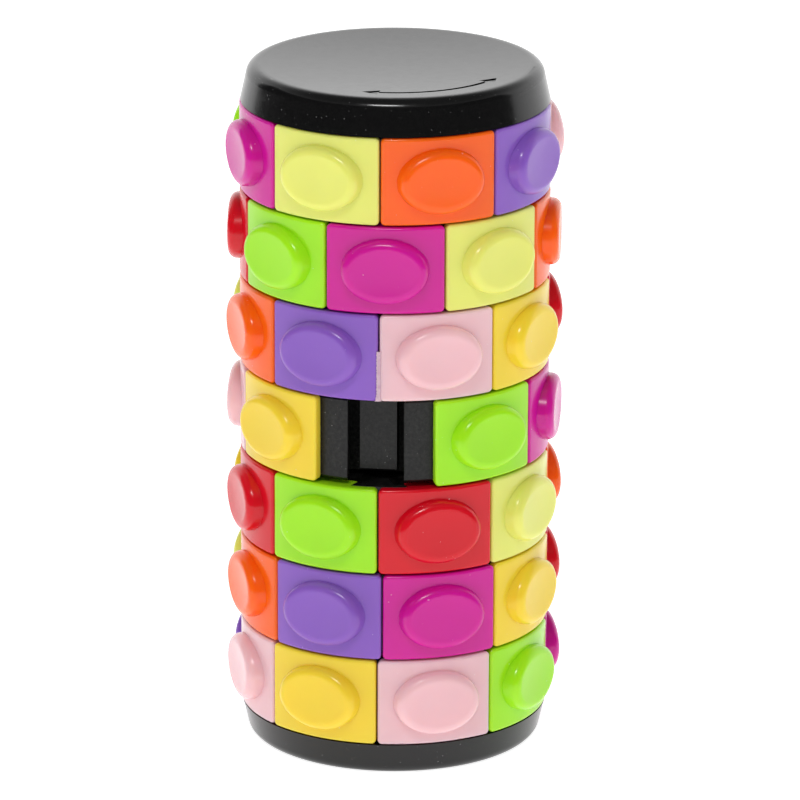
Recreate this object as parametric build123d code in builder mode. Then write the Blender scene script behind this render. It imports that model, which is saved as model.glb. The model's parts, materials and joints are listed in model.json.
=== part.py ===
"""Rotate-and-slide colour tower: seven rings turn on one core, and 55 tiles slide in their grooves.

Units are millimetres. +Z is up and is the axis that every ring turns about. The origin is the centre of
the flat foot of the bottom cap. Azimuths are in degrees from +X, anticlockwise seen from above, so the
front of the tower is at -90.
"""

import os

from build123d import *

# ---------------------------------------------------------------- driving dimensions: the stack
RINGS = 7
SLOTS = 8
SLOT_PITCH = 360 / SLOTS
ROW_PITCH = 13.9
TILE_HEIGHT = 13.6
TILE_RADIUS = 24.0
TOP_CAP_HEIGHT = 5.55
BOTTOM_CAP_HEIGHT = 5.1
CAP_GAP = 0.15
FRONT = -90

# How far each ring rests turned from the front, top ring first: the edge where its first tile starts.
RING_REST_TURN = [-50.5, -71.1, -50.8, -75.0, -51.1, -49.4, -51.3]

# Tile colours round each ring from that edge, anticlockwise seen from above. One cell is left empty.
RING_COLOURS = [
    ["lemon", "orange", "purple", "pink", "green", "orange", "green", "magenta"],
    ["green", "magenta", "lemon", "orange", "red", "magenta", "purple", "red"],
    ["purple", "pink", "yellow", "red", "lemon", "pink", "lemon", "orange"],
    ["yellow", None, "green", "magenta", "yellow", "red", "orange", "pink"],
    ["green", "red", "lemon", "orange", "green", "magenta", "yellow", "red"],
    ["purple", "magenta", "yellow", "red", "lemon", "purple", "lemon", "orange"],
    ["yellow", "pink", "green", "magenta", "yellow", "pink", "purple", "pink"],
]

# ---------------------------------------------------------------- rings
HUB_HEIGHT = 13.85
HUB_RADIUS = 10.9
BORE_RADIUS = 9.06
SLEEVE_TOP_INSET = 0.1
SLEEVE_BOTTOM_INSET = 0.45
SLEEVE_INNER_RADIUS = 13.6
WEB_THICKNESS = 1.8
HEAD_RADIUS = 22.3
HEAD_BEVEL = 0.35
HEAD_UNDERSIDE_RADIUS = 20.0
MOUTH_HALF_WIDTH = 4.33
MOUTH_FLARE = 0.55
CHANNEL_HALF_WIDTH = 5.9
CHANNEL_FLOOR_RADIUS = 16.4
BAR_HALF_WIDTH = 2.85
BAR_RADIUS = 18.7
BAR_BOTTOM_INSET = 1.45

# ---------------------------------------------------------------- tiles
PLATE_THICKNESS = 1.55
PLATE_HALF_ANGLE = 22.22
PLATE_CORNER_RADIUS = 0.7
PLATE_EDGE_RADIUS = 0.45
NECK_HALF_WIDTH = 4.18
NECK_HEIGHT = 13.3
FOOT_HALF_WIDTH = 5.75
FOOT_HEIGHT = 9.0
FOOT_TOP_RADIUS = 19.85
FOOT_BOTTOM_RADIUS = 16.55
GROOVE_HALF_WIDTH = 3.0
GROOVE_RADIUS = 18.85
BUTTON_ROOT_RADIUS = 22.6
BUTTON_ROOT_HALF_WIDTH = 6.8
BUTTON_ROOT_HALF_HEIGHT = 5.2
BUTTON_DRAFT = 5
BUTTON_BLANK_HEIGHT = 4.0
BUTTON_RIM_FILLET = 1.3
DISH_CENTRE_RADIUS = 25.4
DISH_CURVE_ACROSS = 75.0
DISH_CURVE_UPRIGHT = 28.8

# ---------------------------------------------------------------- caps
CAP_OPEN_RADIUS = 23.85
CAP_RIM_RADIUS = 22.65
CAP_RIM_FILLET = 1.8
CAP_WALL = 1.6
CAP_PLATE = 2.0
CAP_DISH_RADIUS = 20.8
CAP_DISH_DEPTH = 0.6
SOCKET_RADIUS = 13.0
SOCKET_WALL = 1.5
SOCKET_HEIGHT = 2.9
CAP_BOSS_RADIUS = 4.0
ARROW_RADIUS = 17.6
ARROW_WIDTH = 0.8
ARROW_DEPTH = 0.35
ARROW_START = -101
ARROW_SWEEP = 66
ARROW_HEAD_RADIUS = 1.7

# ---------------------------------------------------------------- core, spring and screws
CORE_RADIUS = 9.0
CORE_BORE_RADIUS = 6.2
CORE_FLANGE_RADIUS = 12.95
CORE_FLANGE_THICKNESS = 1.6
CORE_FLOOR_THICKNESS = 2.4
CORE_TOP_DROP = 1.5
BRIDGE_THICKNESS = 9.0
BRIDGE_DEPTH = 15.0
RETAINER_THICKNESS = 1.6
SPIGOT_RADIUS = 6.1
SPIGOT_LENGTH = 9.0
CUP_RADIUS = 4.4
CUP_FLOOR = 1.6
SPRING_RADIUS = 3.4
SPRING_WIRE_RADIUS = 0.35
SPRING_TURNS = 5
WASHER_RADIUS = 4.1
WASHER_THICKNESS = 0.6
WASHER_SINK = 0.4
SCREW_RADIUS = 1.5
SCREW_HOLE_RADIUS = 1.75
PILOT_RADIUS = 1.35
SCREW_HEAD_RADIUS = 2.9
SCREW_HEAD_HEIGHT = 1.7
SCREW_HEAD_FILLET = 0.6
SCREW_TIP_CHAMFER = 0.5
RECESS_WIDTH = 0.7
RECESS_LENGTH = 3.4
RECESS_DEPTH = 1.0
BASE_SCREW_LENGTH = 5.1
BASE_PILOT_FLOOR = 0.7
TENSION_SCREW_LENGTH = 22.0

# ---------------------------------------------------------------- worked out from those
STACK_BOTTOM = BOTTOM_CAP_HEIGHT + CAP_GAP
STACK_TOP = STACK_BOTTOM + (RINGS - 1) * ROW_PITCH + TILE_HEIGHT
TOTAL_HEIGHT = STACK_TOP + CAP_GAP + TOP_CAP_HEIGHT
HUB_OVERHANG = (HUB_HEIGHT - TILE_HEIGHT) / 2
SLEEVE_HEIGHT = TILE_HEIGHT - SLEEVE_TOP_INSET - SLEEVE_BOTTOM_INSET
PLATE_INNER_RADIUS = TILE_RADIUS - PLATE_THICKNESS
FLANGE_BOTTOM = STACK_BOTTOM - HUB_OVERHANG - CORE_FLANGE_THICKNESS
CORE_FLOOR_TOP = FLANGE_BOTTOM + CORE_FLOOR_THICKNESS
CORE_TOP = STACK_TOP - CORE_TOP_DROP
BRIDGE_TOP = CORE_TOP - BRIDGE_DEPTH
RETAINER_BOTTOM = STACK_TOP + HUB_OVERHANG
RETAINER_TOP = RETAINER_BOTTOM + RETAINER_THICKNESS
SPIGOT_BOTTOM = RETAINER_BOTTOM - SPIGOT_LENGTH
SPRING_BOTTOM = SPIGOT_BOTTOM + CUP_FLOOR
WASHER_TOP = RETAINER_TOP - WASHER_SINK
SPRING_TOP = WASHER_TOP - WASHER_THICKNESS
CAP_DISH_SPHERE = (CAP_DISH_RADIUS**2 + CAP_DISH_DEPTH**2) / (2 * CAP_DISH_DEPTH)

# Half sections: the ordinary one stands on z = 0, the other hangs upside down from the top.
UPRIGHT = Plane.XZ
HANGING = Plane(origin=(0, 0, TOTAL_HEIGHT), x_dir=(1, 0, 0), z_dir=(0, 1, 0))
CORNER = (Align.MIN, Align.MIN)
ON_BASE = (Align.CENTER, Align.CENTER, Align.MIN)


def row_bottom(ring):
    """Height of the underside of a ring's tiles, where ring 1 is the top one."""
    return STACK_BOTTOM + (RINGS - ring) * ROW_PITCH


def slot_azimuth(ring, slot):
    """Azimuth of the middle of a slot of a ring at rest."""
    return FRONT + RING_REST_TURN[ring - 1] + (slot + 0.5) * SLOT_PITCH


def save(part, name):
    part.label = name
    export_step(part, f"parts/{name}.step")


# ---------------------------------------------------------------- tiles


def make_tile():
    """One tile, standing on z = 0 and facing +X: a curved plate, its button and its T-shaped foot."""
    with BuildPart() as tile:
        with BuildSketch():
            with BuildLine():
                outer = CenterArc((0, 0), TILE_RADIUS, -PLATE_HALF_ANGLE, 2 * PLATE_HALF_ANGLE)
                inner = CenterArc((0, 0), PLATE_INNER_RADIUS, -PLATE_HALF_ANGLE, 2 * PLATE_HALF_ANGLE)
                Line(outer @ 0, inner @ 0)
                Line(outer @ 1, inner @ 1)
            make_face()
        extrude(amount=TILE_HEIGHT)
        fillet(tile.edges().filter_by(GeomType.LINE).filter_by(Plane.XY), PLATE_CORNER_RADIUS)
        face = tile.faces().filter_by(GeomType.CYLINDER).sort_by(SortBy.AREA)[-1]
        fillet(face.edges(), PLATE_EDGE_RADIUS)

        with BuildSketch(Plane.XY.offset(TILE_HEIGHT / 2)):
            with Locations(((FOOT_TOP_RADIUS + PLATE_INNER_RADIUS) / 2, 0)):
                Rectangle(PLATE_INNER_RADIUS - FOOT_TOP_RADIUS + PLATE_THICKNESS / 2, 2 * NECK_HALF_WIDTH)
        extrude(amount=NECK_HEIGHT / 2, both=True)
        with BuildSketch(Plane.XY.offset(TILE_HEIGHT / 2)):
            with Locations(((FOOT_TOP_RADIUS + FOOT_BOTTOM_RADIUS) / 2, 0)):
                Rectangle(FOOT_TOP_RADIUS - FOOT_BOTTOM_RADIUS, 2 * FOOT_HALF_WIDTH)
            with Locations(((GROOVE_RADIUS + FOOT_BOTTOM_RADIUS) / 2, 0)):
                groove_depth = GROOVE_RADIUS - FOOT_BOTTOM_RADIUS
                Rectangle(groove_depth, 2 * GROOVE_HALF_WIDTH, mode=Mode.SUBTRACT)
        extrude(amount=FOOT_HEIGHT / 2, both=True)
        add(make_button())
    return tile.part


def make_button():
    """The oval button of a tile: a drafted slab with a rounded rim and a shallow dish in its face."""
    with BuildPart() as button:
        with BuildSketch(Plane.YZ.offset(BUTTON_ROOT_RADIUS)):
            with Locations((0, TILE_HEIGHT / 2)):
                Ellipse(BUTTON_ROOT_HALF_WIDTH, BUTTON_ROOT_HALF_HEIGHT)
        extrude(amount=BUTTON_BLANK_HEIGHT, taper=BUTTON_DRAFT)
        with Locations((DISH_CENTRE_RADIUS + DISH_CURVE_ACROSS, 0, TILE_HEIGHT / 2)):
            Torus(DISH_CURVE_ACROSS - DISH_CURVE_UPRIGHT, DISH_CURVE_UPRIGHT, mode=Mode.SUBTRACT)
        fillet(button.faces().filter_by(GeomType.TORUS)[0].edges(), BUTTON_RIM_FILLET)
    return button.part


def make_tile_group(tile, ring, colour):
    """All tiles of one colour on one ring, each a separate solid."""
    with BuildPart() as group:
        for slot, slot_colour in enumerate(RING_COLOURS[ring - 1]):
            if slot_colour == colour:
                with Locations(Location((0, 0, row_bottom(ring)), (0, 0, slot_azimuth(ring, slot)))):
                    add(tile)
    return group.part


# ---------------------------------------------------------------- rings


def make_slot_section():
    """Plan of one slot, running along +X: the mouth, the undercut channel and the guide bar left in it."""
    beyond = HEAD_RADIUS + 1
    flared = MOUTH_HALF_WIDTH + MOUTH_FLARE + 1
    with BuildSketch() as section:
        with BuildLine():
            Polyline(
                (BAR_RADIUS, 0),
                (BAR_RADIUS, BAR_HALF_WIDTH),
                (CHANNEL_FLOOR_RADIUS, BAR_HALF_WIDTH),
                (CHANNEL_FLOOR_RADIUS, CHANNEL_HALF_WIDTH),
                (HEAD_UNDERSIDE_RADIUS, CHANNEL_HALF_WIDTH),
                (HEAD_UNDERSIDE_RADIUS, MOUTH_HALF_WIDTH),
                (HEAD_RADIUS - MOUTH_FLARE, MOUTH_HALF_WIDTH),
                (beyond, flared),
                (beyond, 0),
            )
            mirror(about=Plane.XZ)
        make_face()
    return section.sketch


def make_ring(ring, slot_section):
    """A slotted ring: a hub on the core, a web, and a sleeve cut into eight T-headed ribs."""
    bottom = row_bottom(ring)
    with BuildPart() as body:
        with BuildSketch(UPRIGHT) as half_section:
            with Locations((BORE_RADIUS, bottom - HUB_OVERHANG)):
                Rectangle(HUB_RADIUS - BORE_RADIUS, HUB_HEIGHT, align=CORNER)
            with Locations((HUB_RADIUS, bottom + (TILE_HEIGHT - WEB_THICKNESS) / 2)):
                Rectangle(SLEEVE_INNER_RADIUS - HUB_RADIUS, WEB_THICKNESS, align=CORNER)
            with Locations((SLEEVE_INNER_RADIUS, bottom + SLEEVE_BOTTOM_INSET)):
                Rectangle(HEAD_RADIUS - SLEEVE_INNER_RADIUS, SLEEVE_HEIGHT, align=CORNER)
            chamfer(half_section.vertices().group_by(Axis.X)[-1], HEAD_BEVEL)
        revolve(axis=Axis.Z)
        with BuildSketch(Plane.XY.offset(bottom)):
            with PolarLocations(0, SLOTS, start_angle=slot_azimuth(ring, 0)):
                add(slot_section)
        extrude(amount=TILE_HEIGHT, mode=Mode.SUBTRACT)
        with BuildSketch(Plane.XY.offset(bottom)):
            with PolarLocations(0, SLOTS, start_angle=slot_azimuth(ring, 0)):
                with Locations((CHANNEL_FLOOR_RADIUS, 0)):
                    bar_gap = (HEAD_UNDERSIDE_RADIUS - CHANNEL_FLOOR_RADIUS, 2 * BAR_HALF_WIDTH + 1)
                    Rectangle(*bar_gap, align=(Align.MIN, Align.CENTER))
        extrude(amount=BAR_BOTTOM_INSET, mode=Mode.SUBTRACT)
    return body.part


# ---------------------------------------------------------------- caps


def make_cap_shell(plane, height):
    """The shape both caps share: a plate, a tapered skirt and a socket ring, drawn from its plate side."""
    with BuildPart() as cap:
        with BuildSketch(plane):
            with BuildLine():
                Polyline(
                    (0, 0),
                    (CAP_RIM_RADIUS, 0),
                    (CAP_OPEN_RADIUS, height),
                    (CAP_OPEN_RADIUS - CAP_WALL, height),
                    (CAP_RIM_RADIUS - CAP_WALL, CAP_PLATE),
                    (0, CAP_PLATE),
                    close=True,
                )
            make_face()
            with Locations((SOCKET_RADIUS, CAP_PLATE / 2)):
                Rectangle(SOCKET_WALL, CAP_PLATE / 2 + SOCKET_HEIGHT, align=CORNER)
        revolve(axis=Axis.Z)
        circles = cap.edges().filter_by(GeomType.CIRCLE)
        fillet(circles.filter_by(lambda edge: abs(edge.radius - CAP_RIM_RADIUS) < 0.01), CAP_RIM_FILLET)
    return cap.part


def make_bottom_cap():
    """The cap the tower stands on, with a boss that takes the base screw."""
    with BuildPart() as cap:
        add(make_cap_shell(UPRIGHT, BOTTOM_CAP_HEIGHT))
        with Locations((0, 0, CAP_PLATE / 2)):
            Cylinder(CAP_BOSS_RADIUS, FLANGE_BOTTOM - CAP_PLATE / 2, align=ON_BASE)
        with Locations((0, 0, BASE_PILOT_FLOOR)):
            Cylinder(PILOT_RADIUS, FLANGE_BOTTOM, align=ON_BASE, mode=Mode.SUBTRACT)
    return cap.part


def make_top_cap():
    """The cap with a shallow dish in its face and a turning arrow sunk into it near the front."""
    with BuildPart() as cap:
        add(make_cap_shell(HANGING, TOP_CAP_HEIGHT))
        with Locations((0, 0, TOTAL_HEIGHT - CAP_DISH_DEPTH + CAP_DISH_SPHERE)):
            Sphere(CAP_DISH_SPHERE, mode=Mode.SUBTRACT)
        with BuildSketch(Plane.XY.offset(TOTAL_HEIGHT - ARROW_DEPTH)):
            SlotArc(CenterArc((0, 0), ARROW_RADIUS, ARROW_START, ARROW_SWEEP), ARROW_WIDTH)
            with PolarLocations(ARROW_RADIUS, 1, start_angle=ARROW_START):
                RegularPolygon(ARROW_HEAD_RADIUS, 3, rotation=-90)
            with PolarLocations(ARROW_RADIUS, 1, start_angle=ARROW_START + ARROW_SWEEP):
                RegularPolygon(ARROW_HEAD_RADIUS, 3, rotation=90)
        extrude(amount=2 * ARROW_DEPTH, mode=Mode.SUBTRACT)
    return cap.part


# ---------------------------------------------------------------- core, spring and screws


def make_core_tube():
    """The tube that the rings turn on, with a foot flange, a floor, and a bridge that takes the screw."""
    with BuildPart() as core:
        with BuildSketch(UPRIGHT):
            with Locations((CORE_BORE_RADIUS, FLANGE_BOTTOM)):
                Rectangle(CORE_RADIUS - CORE_BORE_RADIUS, CORE_TOP - FLANGE_BOTTOM, align=CORNER)
                Rectangle(CORE_FLANGE_RADIUS - CORE_BORE_RADIUS, CORE_FLANGE_THICKNESS, align=CORNER)
            with Locations((SCREW_HOLE_RADIUS, FLANGE_BOTTOM)):
                Rectangle(CORE_BORE_RADIUS - SCREW_HOLE_RADIUS, CORE_FLOOR_THICKNESS, align=CORNER)
            with Locations((PILOT_RADIUS, BRIDGE_TOP - BRIDGE_THICKNESS)):
                Rectangle(CORE_BORE_RADIUS - PILOT_RADIUS, BRIDGE_THICKNESS, align=CORNER)
        revolve(axis=Axis.Z)
    return core.part


def make_top_retainer():
    """The sprung disc that keeps the rings on the core, with the spring's cup in its spigot."""
    with BuildPart() as retainer:
        with BuildSketch(UPRIGHT):
            with Locations((CUP_RADIUS, RETAINER_BOTTOM)):
                Rectangle(CORE_FLANGE_RADIUS - CUP_RADIUS, RETAINER_THICKNESS, align=CORNER)
            with Locations((CUP_RADIUS, SPIGOT_BOTTOM)):
                Rectangle(SPIGOT_RADIUS - CUP_RADIUS, SPIGOT_LENGTH, align=CORNER)
            with Locations((SCREW_HOLE_RADIUS, SPIGOT_BOTTOM)):
                Rectangle(CUP_RADIUS - SCREW_HOLE_RADIUS, CUP_FLOOR, align=CORNER)
        revolve(axis=Axis.Z)
    return retainer.part


def make_tension_spring():
    rise = SPRING_TOP - SPRING_BOTTOM - 2 * SPRING_WIRE_RADIUS
    start = (0, 0, SPRING_BOTTOM + SPRING_WIRE_RADIUS)
    with BuildPart() as spring:
        with BuildLine() as coil:
            Helix(pitch=rise / SPRING_TURNS, height=rise, radius=SPRING_RADIUS, center=start)
        with BuildSketch(Plane(origin=coil.line @ 0, z_dir=coil.line % 0)):
            Circle(SPRING_WIRE_RADIUS)
        sweep()
    return spring.part


def make_spring_washer():
    with BuildPart() as washer:
        with BuildSketch(Plane.XY.offset(SPRING_TOP)):
            Circle(WASHER_RADIUS)
            Circle(SCREW_HOLE_RADIUS, mode=Mode.SUBTRACT)
        extrude(amount=WASHER_THICKNESS)
    return washer.part


def make_screw(seat, length):
    """A pan-head screw, its head on a seat at this height and its shank hanging below it."""
    with BuildPart() as screw:
        with BuildSketch(Plane.XY.offset(seat)):
            Circle(SCREW_HEAD_RADIUS)
        extrude(amount=SCREW_HEAD_HEIGHT)
        fillet(screw.edges().group_by(Axis.Z)[-1], SCREW_HEAD_FILLET)
        with BuildSketch(Plane.XY.offset(seat)):
            Circle(SCREW_RADIUS)
        extrude(amount=-length)
        chamfer(screw.edges().group_by(Axis.Z)[0], SCREW_TIP_CHAMFER)
        with BuildSketch(Plane.XY.offset(seat + SCREW_HEAD_HEIGHT - RECESS_DEPTH)):
            Rectangle(RECESS_LENGTH, RECESS_WIDTH)
            Rectangle(RECESS_WIDTH, RECESS_LENGTH)
        extrude(amount=RECESS_DEPTH, mode=Mode.SUBTRACT)
    return screw.part


# ---------------------------------------------------------------- the whole tower


def main():
    os.makedirs("parts", exist_ok=True)
    save(make_bottom_cap(), "bottom_cap")
    save(make_top_cap(), "top_cap")
    save(make_core_tube(), "core_tube")
    save(make_top_retainer(), "top_retainer")
    save(make_tension_spring(), "tension_spring")
    save(make_spring_washer(), "spring_washer")
    save(make_screw(WASHER_TOP, TENSION_SCREW_LENGTH), "tension_screw")
    save(make_screw(CORE_FLOOR_TOP, BASE_SCREW_LENGTH), "base_screw")

    tile = make_tile()
    slot_section = make_slot_section()
    for ring in range(1, RINGS + 1):
        save(make_ring(ring, slot_section), f"ring_{ring}_carrier")
        for colour in sorted(set(RING_COLOURS[ring - 1]) - {None}):
            save(make_tile_group(tile, ring, colour), f"ring_{ring}_tiles_{colour}")


main()
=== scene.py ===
import json
import math

import bpy
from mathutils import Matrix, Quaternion, Vector


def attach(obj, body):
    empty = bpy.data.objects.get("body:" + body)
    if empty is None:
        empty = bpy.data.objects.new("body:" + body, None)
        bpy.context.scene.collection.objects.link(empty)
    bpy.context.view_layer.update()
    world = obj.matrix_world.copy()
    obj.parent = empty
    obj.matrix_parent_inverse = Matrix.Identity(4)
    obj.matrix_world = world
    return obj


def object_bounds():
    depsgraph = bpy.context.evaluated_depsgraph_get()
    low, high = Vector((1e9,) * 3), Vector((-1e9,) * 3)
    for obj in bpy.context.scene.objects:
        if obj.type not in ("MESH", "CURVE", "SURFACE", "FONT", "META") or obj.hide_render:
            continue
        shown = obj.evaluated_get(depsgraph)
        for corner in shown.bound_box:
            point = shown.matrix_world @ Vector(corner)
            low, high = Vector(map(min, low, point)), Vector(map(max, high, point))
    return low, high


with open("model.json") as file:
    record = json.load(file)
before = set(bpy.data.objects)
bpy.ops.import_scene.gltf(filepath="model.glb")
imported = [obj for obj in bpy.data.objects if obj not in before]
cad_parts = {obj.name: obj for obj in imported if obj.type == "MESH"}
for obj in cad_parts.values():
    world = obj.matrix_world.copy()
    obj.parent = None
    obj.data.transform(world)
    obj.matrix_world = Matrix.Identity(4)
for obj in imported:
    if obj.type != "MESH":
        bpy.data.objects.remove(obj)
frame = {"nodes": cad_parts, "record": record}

# A studio picture of a rotate-and-slide colour tower: black caps and slotted rings, glossy coloured tiles.
# Units are metres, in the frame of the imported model: +Z is the axis the rings turn about, -Y is the front.

CAD_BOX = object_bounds()
MM = 0.001

# ---------------------------------------------------------------- the view
LENS = 305.3
CAMERA_DISTANCE = 1057 * MM
CAMERA_PITCH = math.radians(17.53)
CAMERA_ROLL = math.radians(0.17)
LOOK_AT = Vector((0.85, 0, 53.6)) * MM

# ---------------------------------------------------------------- the studio
FLOOR_SIZE = 6.0
FLOOR_COLOUR = (0.75, 0.75, 0.75)
FLOOR_GLOW = 0.87
BACKDROP = 1.34
WORLD_FRONT = 0.56
WORLD_ZENITH = 0.15
FLAG_DISTANCE = 1.45
# The dark screen's ends, in degrees round from the front.
FLAG_LEFT = -128
FLAG_RIGHT = 98
FLAG_HEIGHT = 1.1
FLAG_STEPS = 40
FLAG_GREY = 0.02
KEY_PLACE = Vector((-0.10, -0.60, 0.85))
KEY_WIDTH = 0.30
KEY_DEPTH = 0.12
KEY_POWER = 3.0

# ---------------------------------------------------------------- the plastics
# Each tile's linear colour, and how far light goes into it in millimetres: the pale ones are milkier.
TILE_PLASTICS = {
    "green": ((0.36, 0.78, 0.010), 1.8),
    "lemon": ((0.77, 0.79, 0.175), 2.4),
    "magenta": ((0.61, 0.006, 0.31), 1.2),
    "orange": ((0.99, 0.125, 0.003), 1.6),
    "pink": ((0.83, 0.51, 0.55), 3.0),
    "purple": ((0.255, 0.110, 0.52), 1.0),
    "red": ((0.66, 0.003, 0.014), 1.2),
    "yellow": ((0.87, 0.64, 0.040), 1.8),
}
BLACK = (0.004, 0.004, 0.0042)
DUST = (0.16, 0.16, 0.16)

# ---------------------------------------------------------------- the moulding flash on one pink tile
FLASH_RADIUS = 24.02
FLASH_AZIMUTH = -95.55
FLASH_BOTTOM = 60.9
FLASH_TOP = 68.8
FLASH_STEPS = 48


# ---------------------------------------------------------------- node helpers


def new_material(name):
    """A material with an empty tree but for its shader; returns (material, nodes, links, shader)."""
    material = bpy.data.materials.new(name)
    material.use_nodes = True
    tree = material.node_tree
    return material, tree.nodes, tree.links, tree.nodes["Principled BSDF"]


def noise(nodes, links, scale, detail=2.0, roughness=0.5):
    """A noise on the object's own coordinates, so that it rides with the piece. Scale is per metre."""
    place = nodes.new("ShaderNodeTexCoord")
    texture = nodes.new("ShaderNodeTexNoise")
    texture.inputs["Scale"].default_value = scale
    texture.inputs["Detail"].default_value = detail
    texture.inputs["Roughness"].default_value = roughness
    links.new(place.outputs["Object"], texture.inputs["Vector"])
    return texture.outputs["Fac"]


def remap(nodes, links, value, low, high, out_low, out_high):
    """Clamp a value to low..high and stretch it over out_low..out_high."""
    node = nodes.new("ShaderNodeMapRange")
    node.inputs["From Min"].default_value = low
    node.inputs["From Max"].default_value = high
    node.inputs["To Min"].default_value = out_low
    node.inputs["To Max"].default_value = out_high
    links.new(value, node.inputs["Value"])
    return node.outputs["Result"]


def mix_colours(nodes, links, factor, first, second):
    """Mix two colours, each a tuple or a socket, by a factor socket."""
    node = nodes.new("ShaderNodeMix")
    node.data_type = "RGBA"
    links.new(factor, node.inputs["Factor"])
    for socket, colour in ((node.inputs["A"], first), (node.inputs["B"], second)):
        if isinstance(colour, tuple):
            socket.default_value = (*colour, 1)
        else:
            links.new(colour, socket)
    return node.outputs["Result"]


def bump(nodes, links, shader, height, distance, strength):
    """Raise the surface of a shader by a height socket, over a distance in metres."""
    node = nodes.new("ShaderNodeBump")
    node.inputs["Strength"].default_value = strength
    node.inputs["Distance"].default_value = distance
    links.new(height, node.inputs["Height"])
    links.new(node.outputs["Normal"], shader.inputs["Normal"])


def scaled(colour, factor):
    return tuple(min(1.0, channel * factor) for channel in colour)


# ---------------------------------------------------------------- materials


def tile_plastic(name, colour, depth):
    """Glossy moulded ABS: a little light goes into it, and its surface has a faint orange peel."""
    material, nodes, links, shader = new_material(f"tile_{name}")
    clouds = remap(nodes, links, noise(nodes, links, 90, 3), 0.3, 0.7, 0, 1)
    tint = mix_colours(nodes, links, clouds, scaled(colour, 0.97), scaled(colour, 1.03))
    dust = remap(nodes, links, noise(nodes, links, 2600, 0), 0.87, 0.90, 0, 0.3)
    links.new(mix_colours(nodes, links, dust, tint, (0.9, 0.9, 0.9)), shader.inputs["Base Color"])
    gloss = remap(nodes, links, noise(nodes, links, 350, 4), 0.3, 0.7, 0.17, 0.25)
    links.new(gloss, shader.inputs["Roughness"])
    bump(nodes, links, shader, noise(nodes, links, 900, 2), 0.015 * MM, 0.4)
    shader.inputs["IOR"].default_value = 1.47
    shader.inputs["Specular IOR Level"].default_value = 0.42
    shader.inputs["Subsurface Weight"].default_value = 0.6
    shader.inputs["Subsurface Radius"].default_value = (1.0, 0.8, 0.6)
    shader.inputs["Subsurface Scale"].default_value = depth * MM
    return material


def black_plastic(name, roughness, worn, grain):
    """Black ABS with dust specks, faint scuffs and a fine moulded grain."""
    material, nodes, links, shader = new_material(name)
    wear = remap(nodes, links, noise(nodes, links, 1900, 5, 0.65), 0.40, 0.68, 0, 1)
    specks = remap(nodes, links, noise(nodes, links, 4200, 0), 0.83, 0.86, 0, 1)
    surface = mix_colours(nodes, links, wear, BLACK, worn)
    links.new(mix_colours(nodes, links, specks, surface, DUST), shader.inputs["Base Color"])
    scuffs = noise(nodes, links, 700, 6, 0.6)
    gloss = remap(nodes, links, scuffs, 0.3, 0.7, roughness - 0.03, roughness + 0.03)
    links.new(gloss, shader.inputs["Roughness"])
    bump(nodes, links, shader, noise(nodes, links, 2400, 4), 0.02 * MM, grain)
    shader.inputs["IOR"].default_value = 1.5
    return material


def cap_plastic():
    """The smooth satin ABS of the two caps."""
    material = black_plastic("cap_plastic", 0.17, (0.006, 0.006, 0.006), 0.2)
    material.node_tree.nodes["Principled BSDF"].inputs["Specular IOR Level"].default_value = 0.42
    return material


def ring_plastic():
    """The black ABS of the slotted rings, with painted shade: its reflection is turned down in the deep
    channels.
    """
    material = black_plastic("ring_plastic", 0.34, (0.017, 0.017, 0.016), 1.0)
    nodes, links = material.node_tree.nodes, material.node_tree.links
    place = nodes.new("ShaderNodeTexCoord")
    flat = nodes.new("ShaderNodeVectorMath")
    flat.operation = "MULTIPLY"
    flat.inputs[1].default_value = (1, 1, 0)
    links.new(place.outputs["Object"], flat.inputs[0])
    radius = nodes.new("ShaderNodeVectorMath")
    radius.operation = "LENGTH"
    links.new(flat.outputs["Vector"], radius.inputs[0])
    # Painted shade: the reflection strength falls away below the rib tops, which darkens the deep channels.
    channel_shade = remap(nodes, links, radius.outputs["Value"], 17.2 * MM, 18.6 * MM, 0.02, 0.31)
    links.new(channel_shade, nodes["Principled BSDF"].inputs["Specular IOR Level"])
    return material


def steel():
    """Zinc-plated spring steel, a little mottled."""
    material, nodes, links, shader = new_material("plated_steel")
    mottle = remap(nodes, links, noise(nodes, links, 900, 4), 0.35, 0.65, 0, 1)
    links.new(mix_colours(nodes, links, mottle, (0.50, 0.50, 0.53), (0.66, 0.66, 0.67)),
              shader.inputs["Base Color"])
    links.new(remap(nodes, links, noise(nodes, links, 2200, 3), 0.3, 0.7, 0.22, 0.40),
              shader.inputs["Roughness"])
    bump(nodes, links, shader, noise(nodes, links, 4000, 3), 0.01 * MM, 0.3)
    shader.inputs["Metallic"].default_value = 1.0
    return material


def paint_nodes():
    """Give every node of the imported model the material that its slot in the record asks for."""
    paints = {}
    for name, (colour, depth) in TILE_PLASTICS.items():
        paints[f"{name}_plastic"] = tile_plastic(name, colour, depth)
    paints["black_plastic"] = cap_plastic()
    paints["steel"] = steel()
    carrier = ring_plastic()
    for part in frame["record"]["subparts"]:
        obj = frame["nodes"][part["node"]]
        paint = carrier if part["node"].endswith("_carrier") else paints[part["material_slot"]]
        obj.data.materials.clear()
        obj.data.materials.append(paint)


def flash_plastic():
    """Thin, milky, torn plastic."""
    material, nodes, links, shader = new_material("flash_plastic")
    clouds = remap(nodes, links, noise(nodes, links, 1500, 3), 0.3, 0.7, 0, 1)
    links.new(mix_colours(nodes, links, clouds, (0.70, 0.44, 0.58), (0.84, 0.64, 0.72)),
              shader.inputs["Base Color"])
    gloss = remap(nodes, links, noise(nodes, links, 900, 3), 0.3, 0.7, 0.25, 0.45)
    links.new(gloss, shader.inputs["Roughness"])
    bump(nodes, links, shader, noise(nodes, links, 3000, 3), 0.03 * MM, 0.5)
    shader.inputs["Transmission Weight"].default_value = 0.3
    return material


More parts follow.
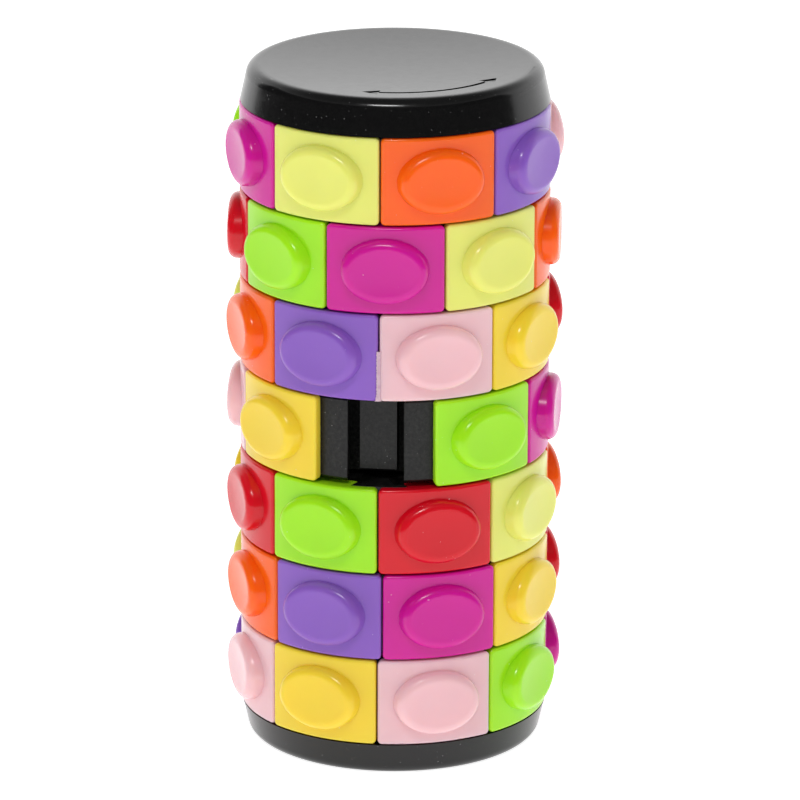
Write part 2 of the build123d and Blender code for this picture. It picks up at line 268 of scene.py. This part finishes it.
def make_flash():
    """The ragged sliver of moulding flash along the lower left edge of the front pink tile of ring 3."""
    vertices, faces = [], []
    for step in range(FLASH_STEPS + 1):
        along = step / FLASH_STEPS
        z = FLASH_BOTTOM + along * (FLASH_TOP - FLASH_BOTTOM)
        tear = 0.5 + 0.5 * math.sin(2.1 * z + 1.7 * math.sin(3.7 * z)) * math.sin(15.1 * z)
        width = 0.34 + 0.16 * tear + 0.25 * max(0.0, 1 - 8 * along)
        across = ((0.30, FLASH_RADIUS - 0.30), (0.12, FLASH_RADIUS - 0.04), (-width, FLASH_RADIUS))
        for offset, radius in across:
            azimuth = math.radians(FLASH_AZIMUTH) + offset / FLASH_RADIUS
            vertices.append(Vector((radius * math.cos(azimuth), radius * math.sin(azimuth), z)) * MM)
    for step in range(FLASH_STEPS):
        for column in (0, 1):
            low = 3 * step + column
            faces.append((low, low + 1, low + 4, low + 3))
    mesh = bpy.data.meshes.new("moulding_flash")
    mesh.from_pydata(vertices, [], faces)
    flash = bpy.data.objects.new("moulding_flash", mesh)
    bpy.context.collection.objects.link(flash)
    thicken = flash.modifiers.new("thickness", "SOLIDIFY")
    thicken.thickness = 0.05 * MM
    flash.data.materials.append(flash_plastic())
    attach(flash, "ring_3")


# ---------------------------------------------------------------- studio


def stage_mesh(name, vertices, faces):
    mesh = bpy.data.meshes.new(name)
    mesh.from_pydata(vertices, [], faces)
    obj = bpy.data.objects.new(name, mesh)
    bpy.context.collection.objects.link(obj)
    return obj


def make_floor():
    """A pale floor that glows a little, as a lit sweep does."""
    half, z = FLOOR_SIZE / 2, CAD_BOX[0][2]
    corners = [(-half, -half, z), (half, -half, z), (half, half, z), (-half, half, z)]
    floor = stage_mesh("floor", corners, [(0, 1, 2, 3)])
    material, nodes, links, shader = new_material("floor")
    shader.inputs["Base Color"].default_value = (*FLOOR_COLOUR, 1)
    gloss = remap(nodes, links, noise(nodes, links, 400, 3), 0.3, 0.7, 0.85, 0.95)
    links.new(gloss, shader.inputs["Roughness"])
    shader.inputs["Emission Color"].default_value = (1, 1, 1, 1)
    shader.inputs["Emission Strength"].default_value = FLOOR_GLOW
    floor.data.materials.append(material)


def make_flag():
    """A dark screen bent round the front, seen only in reflections, that keeps the black walls black."""
    vertices = []
    for step in range(FLAG_STEPS + 1):
        azimuth = math.radians(FLAG_LEFT + (FLAG_RIGHT - FLAG_LEFT) * step / FLAG_STEPS - 90)
        x, y = FLAG_DISTANCE * math.cos(azimuth), FLAG_DISTANCE * math.sin(azimuth)
        vertices += [(x, y, 0), (x, y, FLAG_HEIGHT)]
    faces = [(2 * step, 2 * step + 1, 2 * step + 3, 2 * step + 2) for step in range(FLAG_STEPS)]
    flag = stage_mesh("flag", vertices, faces)
    material, nodes, links, shader = new_material("flag")
    shader.inputs["Base Color"].default_value = (FLAG_GREY, FLAG_GREY, FLAG_GREY, 1)
    shader.inputs["Roughness"].default_value = 1.0
    flag.data.materials.append(material)
    flag.visible_camera = False
    flag.visible_diffuse = False
    flag.visible_shadow = False
    flag.visible_transmission = False


def make_world():
    """A white backdrop behind, a softer room in front, and a greyer ceiling."""
    world = bpy.data.worlds.new("studio")
    bpy.context.scene.world = world
    world.use_nodes = True
    nodes, links = world.node_tree.nodes, world.node_tree.links
    background = nodes["Background"]
    place = nodes.new("ShaderNodeTexCoord")
    axes = nodes.new("ShaderNodeSeparateXYZ")
    links.new(place.outputs["Generated"], axes.inputs["Vector"])
    around = nodes.new("ShaderNodeMapRange")
    around.interpolation_type = "SMOOTHSTEP"
    around.inputs["From Min"].default_value = -0.3
    around.inputs["From Max"].default_value = 0.6
    around.inputs["To Min"].default_value = WORLD_FRONT
    around.inputs["To Max"].default_value = BACKDROP
    links.new(axes.outputs["Y"], around.inputs["Value"])
    fade = nodes.new("ShaderNodeMapRange")
    fade.interpolation_type = "SMOOTHSTEP"
    fade.inputs["From Min"].default_value = 0.30
    fade.inputs["From Max"].default_value = 0.85
    fade.inputs["To Max"].default_value = WORLD_ZENITH
    links.new(around.outputs["Result"], fade.inputs["To Min"])
    links.new(axes.outputs["Z"], fade.inputs["Value"])
    background.inputs["Color"].default_value = (1, 1, 1, 1)
    links.new(fade.outputs["Result"], background.inputs["Strength"])


def make_light():
    """One small soft box, high in front and a little to the left, for the highlights on the buttons."""
    light = bpy.data.lights.new("key", "AREA")
    light.shape = "RECTANGLE"
    light.size, light.size_y = KEY_WIDTH, KEY_DEPTH
    light.energy = KEY_POWER
    obj = bpy.data.objects.new("key", light)
    obj.location = KEY_PLACE
    obj.rotation_euler = (Vector((0, 0, 55 * MM)) - KEY_PLACE).to_track_quat("-Z", "Y").to_euler()
    bpy.context.collection.objects.link(obj)


def make_camera():
    camera = bpy.data.cameras.new("camera")
    camera.lens = LENS
    camera.sensor_width = 36
    camera.clip_start = 0.01
    camera.clip_end = 20
    obj = bpy.data.objects.new("camera", camera)
    back = Vector((0, -math.cos(CAMERA_PITCH), math.sin(CAMERA_PITCH)))
    obj.location = LOOK_AT + CAMERA_DISTANCE * back
    roll = Quaternion((0, 0, 1), CAMERA_ROLL)
    obj.rotation_euler = (back.to_track_quat("Z", "Y") @ roll).to_euler()
    bpy.context.collection.objects.link(obj)
    bpy.context.scene.camera = obj


bpy.context.scene.view_settings.view_transform = "Standard"
make_camera()
make_world()
make_light()
make_floor()
make_flag()
paint_nodes()
make_flash()
